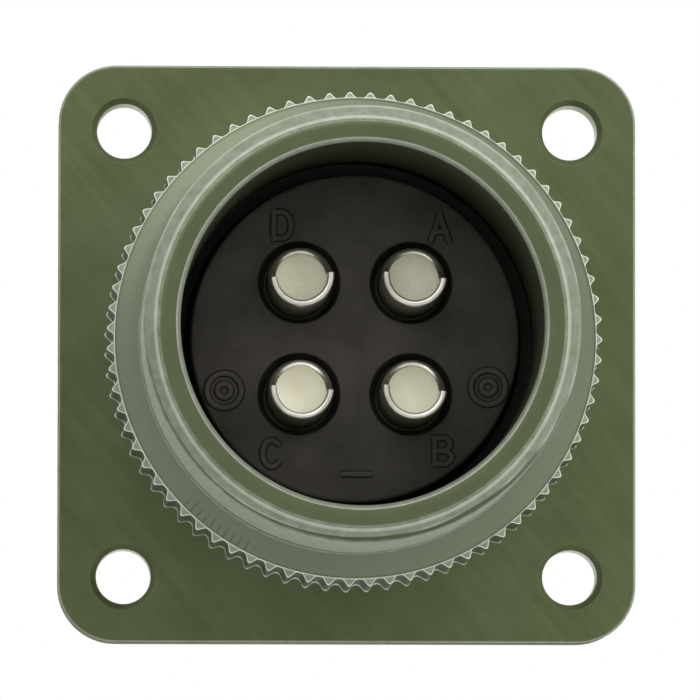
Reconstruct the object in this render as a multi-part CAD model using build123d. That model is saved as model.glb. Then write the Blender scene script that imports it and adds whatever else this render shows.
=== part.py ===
import math
import os

from build123d import *

# Wall mounting receptacle of the threaded circular connector family, shell size 18.
# The connector axis is Y: +Y is the mating side, -Y is the wiring side, and +Z is the side of the
# polarising keyway. The origin is the centre of the screw holes on the flange's panel face.
# All sizes are millimetres, and a height behind the flange is measured from its wiring face.

# Flange
flange_side = 34.93
flange_thickness = 3.2
flange_corner_radius = 3.5
flange_edge_break = 0.2
hole_spacing = 26.97
hole_diameter = 3.3
hole_chamfer = 0.35

# Coupling barrel in front of the flange
coupling_diameter = 28.575
coupling_length = 19.05
coupling_root_length = 4.2
coupling_root_diameter = 29.0
coupling_chamfer = 0.9
mating_bore_diameter = 24.2
mating_bore_depth = 13.55
mating_mouth_chamfer = 0.4
keyway_width = 3.2
keyway_depth = 0.8

# Barrel and threaded neck behind the flange
barrel_diameter = 27.8
barrel_length = 7.5
barrel_edge_break = 0.25
neck_diameter = 25.4
neck_length = 5.9
neck_chamfer = 0.5
neck_relief_width = 0.9
neck_relief_depth = 0.75
root_break = 0.4

# Inside of the shell
neck_wall = 2.0
lip_thickness = 2.0
index_slot_width = 2.0
index_slot_depth = 0.5

# Back shell
back_shell_length = 20.4
knurl_teeth = 75
knurl_diameter = 29.3
knurl_depth = 0.43
knurl_length = 6.6
knurl_crest_share = 0.12
knurl_root_share = 0.36
knurl_bevel_slope = 0.7
shoulder_rise = 0.35
clamp_thread_diameter = 25.2
clamp_relief_width = 0.9
clamp_relief_depth = 0.7
rim_chamfer_width = 0.9
rim_chamfer_height = 0.8
rim_inner_chamfer = 0.25
back_bore_diameter = 21.0
back_thread_depth = 6.35
back_mouth_chamfer = 0.4

# Insulator halves
insert_face_height = 14.3
front_shoulder = 0.75
front_boss_recess = 2.4
front_boss_chamfer = 0.4
rear_shoulder = 0.88
rear_insert_chamfer = 0.25
insert_flange_length = 14.4
rear_flange_length = 6.4
recess_diameter = 4.84
recess_floor_diameter = 4.1
recess_depth = 2.2
entry_diameter = 3.3
entry_mouth_diameter = 4.2
entry_wall = 1.0

# Washer and split ring that hold the insulator in
washer_thickness = 0.65
ring_thickness = 1.0
ring_overlap = 0.75
ring_groove_depth = 0.55
ring_gap = 4.0

# Contacts
contact_pitch = 6.6
cup_diameter = 3.75
cup_bore_diameter = 2.95
cup_projection = 6.6
cup_depth = 5.2
cup_edge_break = 0.1
cup_drill_angle = 118.0
scoop_length = 4.0
scoop_radius = 2.3
collar_diameter = 4.9
collar_length = 2.6
socket_diameter = 3.7
socket_bore_diameter = 2.44
socket_bore_depth = 9.6
socket_mouth_chamfer = 0.25
slot_width = 0.5
slot_length = 8.4
cup_turns = {"a": -6.0, "b": -6.0, "c": -4.0, "d": 5.0}

# Closed-entry sleeve round the socket's tines
sleeve_wall = 0.18
sleeve_length = 10.5
sleeve_lip_diameter = 2.64
sleeve_lip_thickness = 0.25

# Clearances, radial unless the name says otherwise
thread_clearance = 0.06
insert_clearance = 0.1
contact_clearance = 0.05
sleeve_clearance = 0.02
sleeve_to_insert = 0.1
seat_gap = 0.05
ring_end_gap = 0.05
overcut = 1.0

# Stations along the axis, worked out from the sizes above
wiring_face = -flange_thickness
barrel_end = wiring_face - barrel_length
neck_end = barrel_end - neck_length
insert_face = wiring_face - insert_face_height
mating_floor = coupling_length - mating_bore_depth
lip_seat = mating_floor - lip_thickness
flange_end = lip_seat - insert_flange_length
split_plane = flange_end + rear_flange_length
washer_end = flange_end - washer_thickness
groove_front = washer_end
groove_rear = groove_front - ring_thickness - 2 * ring_end_gap
boss_face = coupling_length - front_boss_recess
sleeve_front = boss_face - entry_wall - seat_gap
socket_front = sleeve_front - sleeve_lip_thickness - seat_gap
cup_tip = insert_face - cup_projection
back_shell_front = barrel_end - seat_gap
back_shell_rear = back_shell_front - back_shell_length
knurl_end = back_shell_front - knurl_length
shoulder_top = knurl_end - shoulder_rise
back_thread_end = back_shell_front - back_thread_depth

# Radii worked out from the sizes above
rear_bore = neck_diameter / 2 - neck_wall
insert_flange_radius = rear_bore - insert_clearance
front_boss = insert_flange_radius - front_shoulder
rear_insert_radius = insert_flange_radius - rear_shoulder
lip_bore = front_boss + insert_clearance
groove_radius = rear_bore + ring_groove_depth
knurl_root = knurl_diameter / 2 - knurl_depth
back_thread = neck_diameter / 2 + thread_clearance
socket_radius = socket_diameter / 2
sleeve_bore = socket_radius + sleeve_clearance
sleeve_radius = sleeve_bore + sleeve_wall
socket_pocket = sleeve_radius + sleeve_to_insert


def turned(*profile):
    """Solid of revolution about the connector axis, from (radius, y) corners in order."""
    return revolve(make_face(Polyline(*profile, close=True)), Axis.Y)


def slab(width, y_from, y_to, z_from, z_to):
    """Box centred on x = 0 between the given y and z limits."""
    centre = ((y_from + y_to) / 2, (z_from + z_to) / 2)
    return Pos(0, centre[0], centre[1]) * Box(width, abs(y_to - y_from), abs(z_to - z_from))


def contact_places():
    """Contact letter to (x, z), as seen from the wiring side with x to the right."""
    half = contact_pitch / 2
    return {"a": (half, half), "b": (half, -half), "c": (-half, -half), "d": (-half, half)}


def screw_hole():
    """Cutter for one flange hole, flared by 45 degrees at both faces."""
    radius = hole_diameter / 2
    flare = radius + hole_chamfer + overcut
    return turned(
        (0, overcut),
        (flare, overcut),
        (radius, -hole_chamfer),
        (radius, wiring_face + hole_chamfer),
        (flare, wiring_face - overcut),
        (0, wiring_face - overcut),
    )


def flange_plate():
    """Square flange with rounded corners, broken edges and four screw holes."""
    outline = Plane.XZ * RectangleRounded(flange_side, flange_side, flange_corner_radius)
    plate = extrude(outline, flange_thickness)
    plate = chamfer(plate.faces().filter_by(Axis.Y).edges(), flange_edge_break)
    half = hole_spacing / 2
    for x in (-half, half):
        for z in (-half, half):
            plate -= Pos(x, 0, z) * screw_hole()
    return plate


def shell_outside():
    """Turned outside of the receptacle shell, from the neck's end to the mating end."""
    neck = neck_diameter / 2
    neck_relief = neck - neck_relief_depth
    barrel = barrel_diameter / 2
    root = coupling_root_diameter / 2
    coupling = coupling_diameter / 2
    return turned(
        (0, neck_end),
        (neck - neck_chamfer, neck_end),
        (neck, neck_end + neck_chamfer),
        (neck, barrel_end - neck_relief_width),
        (neck_relief, barrel_end - neck_relief_width),
        (neck_relief, barrel_end),
        (barrel - barrel_edge_break, barrel_end),
        (barrel, barrel_end + barrel_edge_break),
        (barrel, wiring_face - root_break),
        (barrel + root_break, wiring_face),
        (root + root_break, 0),
        (root, root_break),
        (root, coupling_root_length),
        (coupling, coupling_root_length),
        (coupling, coupling_length - coupling_chamfer),
        (coupling - coupling_chamfer, coupling_length),
        (0, coupling_length),
    )


def shell_inside():
    """Cutter for the mating bore, the lip's bore, the insulator's bore and the ring groove."""
    mating = mating_bore_diameter / 2
    return turned(
        (0, coupling_length + overcut),
        (mating + mating_mouth_chamfer + overcut, coupling_length + overcut),
        (mating, coupling_length - mating_mouth_chamfer),
        (mating, mating_floor),
        (lip_bore, mating_floor),
        (lip_bore, lip_seat),
        (rear_bore, lip_seat),
        (rear_bore, groove_front),
        (groove_radius, groove_front),
        (groove_radius, groove_rear),
        (rear_bore, groove_rear),
        (rear_bore, neck_end - overcut),
        (0, neck_end - overcut),
    )


def receptacle_shell():
    """Flange, coupling barrel and threaded neck in one piece."""
    shell = shell_outside() + flange_plate() - shell_inside()
    mating = mating_bore_diameter / 2
    keyway = slab(keyway_width, mating_floor, coupling_length + overcut, 0, mating + keyway_depth)
    slot_floor = rear_bore + index_slot_depth
    index_slot = slab(index_slot_width, lip_seat, neck_end - overcut, -slot_floor, 0)
    return shell - keyway - index_slot


def knurl_outline():
    """Closed ring of straight teeth: a narrow crest, two flanks and a floor for each pitch."""
    pitch = 2 * math.pi / knurl_teeth
    crest = knurl_diameter / 2
    steps = (
        (-knurl_crest_share / 2, crest),
        (knurl_crest_share / 2, crest),
        (0.5 - knurl_root_share / 2, knurl_root),
        (0.5 + knurl_root_share / 2, knurl_root),
    )
    corners = []
    for tooth in range(knurl_teeth):
        for share, radius in steps:
            angle = (tooth + share) * pitch
            corners.append((radius * math.cos(angle), radius * math.sin(angle)))
    return Polyline(*corners, close=True)


def knurled_ring():
    """The grip: toothed prism along the axis, with its tooth ends bevelled."""
    section = Plane.XZ.offset(-back_shell_front) * make_face(knurl_outline())
    bevel = knurl_depth * knurl_bevel_slope
    beyond = overcut * knurl_bevel_slope
    reach = knurl_diameter / 2 + overcut
    envelope = turned(
        (0, back_shell_front),
        (knurl_root, back_shell_front),
        (reach, back_shell_front - bevel - beyond),
        (reach, knurl_end + bevel + beyond),
        (knurl_root, knurl_end),
        (0, knurl_end),
    )
    return extrude(section, knurl_length) & envelope


def back_shell_outside():
    """Shoulder, clamp-thread tube and chamfered rim, standing on the knurled ring."""
    tube = clamp_thread_diameter / 2
    relief = tube - clamp_relief_depth
    return turned(
        (0, knurl_end),
        (knurl_root, knurl_end),
        (tube, shoulder_top),
        (relief, shoulder_top),
        (relief, shoulder_top - clamp_relief_width),
        (tube, shoulder_top - clamp_relief_width - clamp_relief_depth),
        (tube, back_shell_rear + rim_chamfer_height),
        (tube - rim_chamfer_width, back_shell_rear),
        (0, back_shell_rear),
    )


def back_shell_inside():
    """Cutter for the neck thread, the inner shoulder and the wiring bore with its rim."""
    bore = back_bore_diameter / 2
    return turned(
        (0, back_shell_front + overcut),
        (back_thread + back_mouth_chamfer + overcut, back_shell_front + overcut),
        (back_thread, back_shell_front - back_mouth_chamfer),
        (back_thread, back_thread_end),
        (bore, back_thread_end),
        (bore, back_shell_rear + rim_inner_chamfer),
        (bore + rim_inner_chamfer + overcut, back_shell_rear - overcut),
        (0, back_shell_rear - overcut),
    )


def back_shell():
    """Knurled ring and clamp-thread tube in one turned piece."""
    return knurled_ring() + back_shell_outside() - back_shell_inside()


def index_rib(y_from, y_to):
    """Moulded rib that runs in the shell's index slot, on the side away from the keyway."""
    return slab(
        index_slot_width - 2 * insert_clearance,
        y_from,
        y_to,
        -(rear_bore + index_slot_depth - insert_clearance),
        -(insert_flange_radius - index_slot_depth),
    )


def front_insert():
    """Mating half of the insulator: shoulder, boss and four funnel-shaped, closed-entry socket holes."""
    body = turned(
        (0, split_plane),
        (insert_flange_radius, split_plane),
        (insert_flange_radius, lip_seat),
        (front_boss, lip_seat),
        (front_boss, boss_face - front_boss_chamfer),
        (front_boss - front_boss_chamfer, boss_face),
        (0, boss_face),
    )
    body += index_rib(split_plane, lip_seat)
    entry = entry_diameter / 2
    funnel = (entry_mouth_diameter / 2 - entry) / entry_wall
    pocket = collar_diameter / 2 + contact_clearance
    collar_seat = split_plane + collar_length / 2 + seat_gap
    hole = turned(
        (0, split_plane - overcut),
        (pocket, split_plane - overcut),
        (pocket, collar_seat),
        (socket_pocket, collar_seat),
        (socket_pocket, boss_face - entry_wall),
        (entry, boss_face - entry_wall),
        (entry + funnel * (entry_wall + overcut), boss_face + overcut),
        (0, boss_face + overcut),
    )
    for x, z in contact_places().values():
        body -= Pos(x, 0, z) * hole
    return body


def rear_insert():
    """Wiring half of the insulator: shoulder, plain body and four recesses round the cups."""
    body = turned(
        (0, insert_face),
        (rear_insert_radius - rear_insert_chamfer, insert_face),
        (rear_insert_radius, insert_face + rear_insert_chamfer),
        (rear_insert_radius, flange_end),
        (insert_flange_radius, flange_end),
        (insert_flange_radius, split_plane),
        (0, split_plane),
    )
    body += index_rib(flange_end, split_plane)
    pocket = collar_diameter / 2 + contact_clearance
    stem = cup_diameter / 2 + contact_clearance
    collar_seat = split_plane - collar_length / 2 - seat_gap
    recess_floor = insert_face + recess_depth
    hole = turned(
        (0, split_plane + overcut),
        (pocket, split_plane + overcut),
        (pocket, collar_seat),
        (stem, collar_seat),
        (stem, recess_floor),
        (recess_floor_diameter / 2, recess_floor),
        (recess_diameter / 2, insert_face),
        (recess_diameter / 2, insert_face - overcut),
        (0, insert_face - overcut),
    )
    for x, z in contact_places().values():
        body -= Pos(x, 0, z) * hole
    return body


def insert_washer():
    """Flat washer on the insulator's shoulder, in front of the split ring."""
    inner = rear_insert_radius + insert_clearance
    outer = rear_bore - insert_clearance
    return turned((inner, flange_end), (outer, flange_end), (outer, washer_end), (inner, washer_end))


def insert_retaining_ring():
    """Split ring sprung into the neck's groove, its gap at the index slot."""
    outer = groove_radius - insert_clearance
    inner = rear_bore - ring_overlap
    front = groove_front - ring_end_gap
    rear = front - ring_thickness
    ring = turned((inner, front), (outer, front), (outer, rear), (inner, rear))
    return ring - slab(ring_gap, front + overcut, rear - overcut, -outer - overcut, 0)


def scoop():
    """Cutter that opens the upper half of a solder cup, run out by a round cutter."""
    run_out = cup_tip + scoop_length - scoop_radius
    width = cup_diameter + 2 * overcut
    opening = slab(width, cup_tip - overcut, run_out, 0, 2 * scoop_radius)
    cutter = Pos(0, run_out, scoop_radius) * Rot(0, 90, 0) * Cylinder(scoop_radius, width)
    return opening + cutter


def socket_contact():
    """One turned contact on the axis: solder cup, collar and slotted socket."""
    cup = cup_diameter / 2
    collar = collar_diameter / 2
    collar_rear = split_plane - collar_length / 2
    collar_front = split_plane + collar_length / 2
    body = turned(
        (0, cup_tip),
        (cup - cup_edge_break, cup_tip),
        (cup, cup_tip + cup_edge_break),
        (cup, collar_rear),
        (collar, collar_rear),
        (collar, collar_front),
        (socket_radius, collar_front),
        (socket_radius, socket_front - cup_edge_break),
        (socket_radius - cup_edge_break, socket_front),
        (0, socket_front),
    )
    wire_bore = cup_bore_diameter / 2
    drill_point = wire_bore / math.tan(math.radians(cup_drill_angle / 2))
    cup_floor = cup_tip + cup_depth
    body -= turned(
        (0, cup_tip - overcut),
        (wire_bore, cup_tip - overcut),
        (wire_bore, cup_floor),
        (0, cup_floor + drill_point),
    )
    pin_bore = socket_bore_diameter / 2
    flare = pin_bore + socket_mouth_chamfer + overcut
    body -= turned(
        (0, socket_front + overcut),
        (flare, socket_front + overcut),
        (pin_bore, socket_front - socket_mouth_chamfer),
        (pin_bore, socket_front - socket_bore_depth),
        (0, socket_front - socket_bore_depth),
    )
    body -= slab(slot_width, socket_front - slot_length, socket_front + overcut, -collar, collar)
    return body - scoop()


def contact_sleeve():
    """Closed-entry sleeve on the axis, open behind and rolled in at its front."""
    rear = sleeve_front - sleeve_length
    lip = sleeve_lip_diameter / 2
    return turned(
        (sleeve_bore, rear),
        (sleeve_radius, rear),
        (sleeve_radius, sleeve_front - sleeve_wall),
        (sleeve_radius - sleeve_wall, sleeve_front),
        (lip, sleeve_front),
        (lip, sleeve_front - sleeve_lip_thickness),
        (sleeve_bore, sleeve_front - sleeve_lip_thickness),
    )


def all_parts():
    """Node name to solid, in the part's own frame."""
    parts = {
        "receptacle_shell": receptacle_shell(),
        "back_shell": back_shell(),
        "front_insert": front_insert(),
        "rear_insert": rear_insert(),
        "insert_washer": insert_washer(),
        "insert_retaining_ring": insert_retaining_ring(),
    }
    contact = socket_contact()
    sleeve = contact_sleeve()
    for letter, (x, z) in contact_places().items():
        turn = Rot(0, -cup_turns[letter], 0)
        parts[f"contact_{letter}"] = Pos(x, 0, z) * turn * contact
        parts[f"contact_sleeve_{letter}"] = Pos(x, 0, z) * turn * sleeve
    return parts


def main():
    """Write one STEP file for each piece."""
    os.makedirs("parts", exist_ok=True)
    for name, shape in all_parts().items():
        export_step(shape, f"parts/{name}.step")


if __name__ == "__main__":
    main()
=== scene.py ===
import math

import bpy
import numpy as np
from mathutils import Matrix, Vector
from mathutils.geometry import delaunay_2d_cdt


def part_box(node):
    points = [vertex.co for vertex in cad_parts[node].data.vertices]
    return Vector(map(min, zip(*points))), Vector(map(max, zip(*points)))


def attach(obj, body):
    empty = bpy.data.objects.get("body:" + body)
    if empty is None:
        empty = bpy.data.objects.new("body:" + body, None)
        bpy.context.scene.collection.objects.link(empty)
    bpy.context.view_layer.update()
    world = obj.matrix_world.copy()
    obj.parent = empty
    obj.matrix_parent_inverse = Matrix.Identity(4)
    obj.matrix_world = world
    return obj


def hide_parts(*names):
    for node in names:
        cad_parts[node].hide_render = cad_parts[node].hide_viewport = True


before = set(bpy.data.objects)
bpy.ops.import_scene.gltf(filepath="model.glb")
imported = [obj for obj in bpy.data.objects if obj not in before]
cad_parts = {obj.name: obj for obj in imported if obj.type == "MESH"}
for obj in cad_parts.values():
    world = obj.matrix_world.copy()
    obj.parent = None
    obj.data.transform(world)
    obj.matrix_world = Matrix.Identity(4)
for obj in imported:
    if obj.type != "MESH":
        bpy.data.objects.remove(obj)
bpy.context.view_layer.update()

mm = 0.001
weldStep = 1e-4          # mm, corners nearer than this become one
sharpAngle = 32.0        # degrees, edges that turn more than this are drawn sharp

# Shapes are worked out in millimetres. The connector axis is y, and a turned surface is
# x = r cos a, z = r sin a. The wiring side, which the camera sees, is -y.


def boxOf(node):
    # lowest and highest corner of a node, in mm
    low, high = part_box(node)
    return np.array(low) / mm, np.array(high) / mm


shellLow, shellHigh = boxOf("receptacle_shell")
backLow, backHigh = boxOf("back_shell")
rearLow, rearHigh = boxOf("rear_insert")
frontLow, frontHigh = boxOf("front_insert")
washerLow, washerHigh = boxOf("insert_washer")
ringLow, ringHigh = boxOf("insert_retaining_ring")
sleeveLow, sleeveHigh = boxOf("contact_sleeve_a")


# Mesh building

def newSurface():
    # the lists in which the patches of one piece are gathered
    return {"points": [], "triangles": [], "wearAndPaintedLight": [], "count": 0}


def addPatch(surface, points, triangles, wearAndPaintedLight):
    # points are (x, y, z), triangles hold their indices, and the wear and painted light is one value or one
    # for each point
    surface["points"].append(points.reshape(-1, 3))
    surface["triangles"].append(triangles + surface["count"])
    surface["wearAndPaintedLight"].append(np.broadcast_to(wearAndPaintedLight, points.shape[:-1]).reshape(-1))
    surface["count"] += points.size // 3


def gridTriangles(index):
    # each square of four neighbouring indices becomes two triangles
    a, b, c, d = index[:-1, :-1], index[:-1, 1:], index[1:, 1:], index[1:, :-1]
    halves = [np.stack([a, b, c], -1).reshape(-1, 3), np.stack([a, c, d], -1).reshape(-1, 3)]
    return np.concatenate(halves)


def ringIndex(rows, columns):
    # indices of a grid whose last column joins its first
    index = np.arange(rows * columns).reshape(rows, columns)
    return np.concatenate([index, index[:, :1]], axis=1)


def fanTriangles(loop, side):
    # triangles from a loop's first index to its other edges
    k = np.arange(1, len(loop) - 1)
    return np.stack([np.full(len(k), loop[0]), loop[k], loop[k + 1]], -1)[:, ::side]


def turnedPoints(radii, heights, angles):
    # row i, column j: (r cos a, y, r sin a) with r and y from row i and a from column j
    radii, heights, angles = np.broadcast_arrays(radii, heights, angles)
    return np.stack([radii * np.cos(angles), heights, radii * np.sin(angles)], axis=-1)


def addTurned(surface, profile, angles, centre=(0.0, 0.0)):
    # profile rows are (radius, height, wear and painted light), each a number or one value for each column.
    # The angles are the same for all rows, or one row of them for each
    rows = [np.stack([np.broadcast_to(v, angles.shape[-1:]) for v in row]) for row in profile]
    radii, heights, wearAndPaintedLight = np.stack(rows, axis=1)
    points = turnedPoints(radii, heights, angles) + np.array([centre[0], 0.0, centre[1]])
    addPatch(surface, points, gridTriangles(ringIndex(*points.shape[:2])), wearAndPaintedLight)


def addLoop(surface, profile, angles, centre=(0.0, 0.0)):
    # a turned ring whose last profile row joins its first
    addTurned(surface, list(profile) + [profile[0]], angles, centre=centre)


threadForm = {
    "flankRows": 3, "crestShare": 0.16, "rootShare": 0.24, "outside": True, "phase": 0.0,
    "startSlope": 1.0, "endSlope": 1.0, "runIn": (-9, -8), "runOut": (-9, -8), "coneWearAndSheen": None,
    "coneBlend": (-0.10, 0.02),
}


def addThread(surface, thread, angles, flow):
    # helical rows: row i stands at s = (w + turn) p - p, with turn = a / 2 pi, p the pitch and w whole
    # turns plus the row's own share of one, held between 0 and the length. The shares lie at the corners
    # of the thread form and between them. The radius follows the row's place in the form, and is limited
    # by the cones at both ends. With flow 1 the rows run the other way, at s = (w - turn) p.
    z = {**threadForm, **thread}
    pitch, length = z["pitch"], z["length"]
    crestHalf, rootHalf = z["crestShare"] / 2, z["rootShare"] / 2
    flank = np.linspace(crestHalf, 0.5 - rootHalf, z["flankRows"] + 1)
    corners = np.concatenate([[0.0], flank, [0.5], 1 - flank[::-1]])
    shares = np.sort((corners - z["phase"]) % 1.0)
    count = len(shares)
    number = np.arange(-count, int(math.ceil((length / pitch + 2) * count)))
    rows = (number // count + shares[number % count])[:, None]
    turn = angles / (2 * np.pi)
    along = (rows + turn - 1 if flow < 0 else rows - turn) * pitch
    place = rows + z["phase"]
    # a groove whose middle comes near either end of the thread grows shallower and runs out
    middle = along - (place - np.floor(place) - 0.5) * pitch
    fade = np.interp(length - middle, z["runOut"], (0, 1)) * np.interp(middle, z["runIn"], (0, 1))
    depth = z["depth"] * fade
    along = np.clip(along, 0, length)
    away = np.abs(place - np.round(place))
    rise = np.clip((0.5 - rootHalf - away) / (0.5 - rootHalf - crestHalf), 0, 1)
    sign = 1 if z["outside"] else -1
    radius = z["major"] - sign * depth * (1 - rise)
    limit = sign * np.minimum(sign * z["startRadius"] + along * z["startSlope"],
                              sign * z["endRadius"] + (length - along) * z["endSlope"])
    # crests get wear and painted highlights, roots painted shade where their value is below 0
    wearAndPaintedLight = z["rootWearAndShade"] + (z["crestWearAndGlint"] - z["rootWearAndShade"]) * rise ** 2
    if z["coneWearAndSheen"] is not None:
        # the cone at the far end has its own value, a painted sheen, with a painted highlight at its edge
        # where it meets the grooves
        above = sign * (radius - limit)
        edge = (1 - np.abs(above) / z["edgeWidth"]).clip(0) * z["edgeGlint"]
        nearEnd = along > 0.5 * length
        onCone = np.interp(above, z["coneBlend"], (0, 1)) * nearEnd
        wearAndPaintedLight = wearAndPaintedLight + (z["coneWearAndSheen"] - wearAndPaintedLight) * onCone + edge * nearEnd
    radius = sign * np.minimum(sign * radius, sign * limit)
    points = turnedPoints(radius, z["start"] + flow * along, angles)
    index = np.arange(points.shape[0] * len(angles)).reshape(-1, len(angles))
    last = index.shape[0] - 1
    joined = np.clip(np.arange(last + 1) - flow * count, 0, last)   # the seam is one pitch on
    index = np.concatenate([index, index[joined, :1]], axis=1)
    addPatch(surface, points, gridTriangles(index), np.broadcast_to(wearAndPaintedLight, points.shape[:2]))


def addStep(surface, coarse, fine, ratio):
    # strip between a ring of n corners and one of ratio x n corners, as a fan from each coarse corner
    n = len(coarse)
    k = np.arange(n)
    outer = [n + (ratio * k + step) % (ratio * n) for step in range(ratio + 1)]
    triangles = [np.stack([k, outer[step + 1], outer[step]], -1) for step in range(ratio)]
    triangles.append(np.stack([k, (k + 1) % n, outer[ratio]], -1))
    addPatch(surface, np.concatenate([coarse, fine]), np.concatenate(triangles)[:, ::-1], 0.0)


def insideLoop(points, loop):
    # even-odd rule: a point is inside if a line to its right crosses the loop an odd number of times
    a, b = loop, np.roll(loop, -1, axis=0)
    low = (a[:, 1] <= points[:, 1:2]) != (b[:, 1] <= points[:, 1:2])
    rise = np.where(a[:, 1] == b[:, 1], 1.0, b[:, 1] - a[:, 1])
    cross = a[:, 0] + (points[:, 1:2] - a[:, 1]) * (b[:, 0] - a[:, 0]) / rise
    return (low & (points[:, :1] < cross)).sum(axis=1) % 2 == 1


def addFlat(surface, height, outline, holes, facing):
    # flat face at one height, inside its outline and outside its holes; loops hold (x, z) corners
    loops = [outline] + list(holes)
    corners = np.concatenate(loops)
    edges, start = [], 0
    for loop in loops:
        edges += [(start + k, start + (k + 1) % len(loop)) for k in range(len(loop))]
        start += len(loop)
    found = delaunay_2d_cdt([Vector(p) for p in corners], edges, [], 0, 1e-7)
    origin = np.array([near[0] for near in found[3]])
    triangles = origin[np.array(found[2])]
    middle = corners[triangles].mean(axis=1)
    keep = insideLoop(middle, outline)
    for hole in holes:
        keep &= ~insideLoop(middle, hole)
    triangles = triangles[keep]
    a, b, c = (corners[triangles[:, k]] for k in range(3))
    area = (b[:, 0] - a[:, 0]) * (c[:, 1] - a[:, 1]) - (b[:, 1] - a[:, 1]) * (c[:, 0] - a[:, 0])
    wrong = area * facing > 0           # counter-clockwise in (x, z) faces -y
    triangles[wrong] = triangles[wrong][:, ::-1]
    points = np.stack([corners[:, 0], np.full(len(corners), float(height)), corners[:, 1]], axis=-1)
    addPatch(surface, points, triangles, 0.0)


def circle(radius, angles, centre=(0.0, 0.0)):
    # (x, z) corners at centre + radius (cos a, sin a)
    return np.stack([centre[0] + radius * np.cos(angles), centre[1] + radius * np.sin(angles)], axis=-1)


def evenAngles(count):
    # 2 pi k / n, for k from 0 to n - 1
    return np.arange(count) * 2 * np.pi / count


def snappedAngles(count, wanted):
    # even angles, with the nearest ones moved onto the wanted angles
    angles = evenAngles(count)
    for angle in wanted:
        angles[np.argmin(np.abs(angles - angle))] = angle
    return angles


def finishPiece(surface, name, material, body, nodes):
    # weld, drop empty triangles, turn outwards, and hand the piece to its body
    points = np.concatenate(surface["points"])
    triangles = np.concatenate(surface["triangles"])
    wearAndPaintedLight = np.concatenate(surface["wearAndPaintedLight"])
    keys = np.round(points / weldStep).astype(np.int64)
    _, first, inverse = np.unique(keys, axis=0, return_index=True, return_inverse=True)
    triangles = inverse.reshape(-1)[triangles]
    a, b, c = triangles.T
    triangles = triangles[(a != b) & (b != c) & (c != a)]
    points, wearAndPaintedLight = points[first], wearAndPaintedLight[first]
    corner = points[triangles]
    volume = np.einsum("ij,ij->", corner[:, 0], np.cross(corner[:, 1], corner[:, 2])) / 6
    if volume < 0:
        triangles = triangles[:, ::-1]
    mesh = bpy.data.meshes.new(name)
    mesh.vertices.add(len(points))
    mesh.vertices.foreach_set("co", (points * mm).astype(np.float32).ravel())
    mesh.loops.add(triangles.size)
    mesh.loops.foreach_set("vertex_index", triangles.astype(np.int32).ravel())
    mesh.polygons.add(len(triangles))
    mesh.polygons.foreach_set("loop_start", np.arange(0, triangles.size, 3, dtype=np.int32))
    mesh.polygons.foreach_set("use_smooth", np.ones(len(triangles), bool))
    mesh.update(calc_edges=True)
    attribute = mesh.attributes.new("wearAndPaintedLight", "FLOAT", "POINT")
    attribute.data.foreach_set("value", wearAndPaintedLight.astype(np.float32))
    mesh.set_sharp_from_angle(angle=math.radians(sharpAngle))
    piece = bpy.data.objects.new(name, mesh)
    bpy.context.scene.collection.objects.link(piece)
    mesh.materials.append(material)
    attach(piece, body)
    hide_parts(*nodes)
    print(name, len(triangles), "triangles, volume", round(abs(volume), 1), "mm3")
    return piece


# Materials

making = {}                # the node tree that the helpers below add to


def addNode(kind, **values):
    node = making["tree"].nodes.new(kind)
    for key, value in values.items():
        setattr(node, key, value)
    return node


def feed(value, target):
    # a number is set on the socket, a colour too, and anything else is linked to it
    if isinstance(value, (int, float)):
        target.default_value = value
    elif isinstance(value, tuple):
        target.default_value = (*value, 1.0)
    else:
        making["tree"].links.new(value, target)


def calc(operation, *values):
    # one operation on its values, each a number or a socket
    node = addNode("ShaderNodeMath", operation=operation)
    for value, target in zip(values, node.inputs):
        feed(value, target)
    return node.outputs[0]


def times(first, *others):
    # product of all the values
    for value in others:
        first = calc("MULTIPLY", first, value)
    return first


def plus(first, second):
    return calc("ADD", first, second)


def minus(first, second):
    return calc("SUBTRACT", first, second)


def stretch(value, low, high, toLow=0.0, toHigh=1.0):
    # straight line from (low, toLow) to (high, toHigh), held at both ends
    node = addNode("ShaderNodeMapRange")
    for target, number in zip(node.inputs[1:5], (low, high, toLow, toHigh)):
        target.default_value = number
    feed(value, node.inputs[0])
    return node.outputs[0]


def noise(vector, scale, detail=3.0, roughness=0.55):
    # cloudy values round 0.5, scale per metre
    node = addNode("ShaderNodeTexNoise")
    feed(vector, node.inputs["Vector"])
    for socket, number in (("Scale", scale), ("Detail", detail), ("Roughness", roughness)):
        node.inputs[socket].default_value = number
    return node.outputs[0]


def mixColour(factor, first, second):
    # first (1 - factor) + second factor
    node = addNode("ShaderNodeMix", data_type="RGBA")
    for value, socket in ((factor, 0), (first, 6), (second, 7)):
        feed(value, node.inputs[socket])
    return node.outputs[2]


def mixNumber(factor, first, second):
    # the same for numbers
    node = addNode("ShaderNodeMix")
    for value, socket in ((factor, 0), (first, 2), (second, 3)):
        feed(value, node.inputs[socket])
    return node.outputs[0]


def vectorOf(x, y, z):
    node = addNode("ShaderNodeCombineXYZ")
    for value, target in zip((x, y, z), node.inputs):
        feed(value, target)
    return node.outputs[0]


def wearAndPaintedLightOf():
    # the wear and painted light that finishPiece wrote on the mesh
    return addNode("ShaderNodeAttribute", attribute_name="wearAndPaintedLight").outputs["Fac"]


def bump(height, strength, distance, below=None):
    # normal tilted by the height's slope, over the normal below where there is one
    node = addNode("ShaderNodeBump")
    node.inputs["Strength"].default_value = strength
    node.inputs["Distance"].default_value = distance
    feed(height, node.inputs["Height"])
    if below is not None:
        feed(below, node.inputs["Normal"])
    return node.outputs["Normal"]


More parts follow.
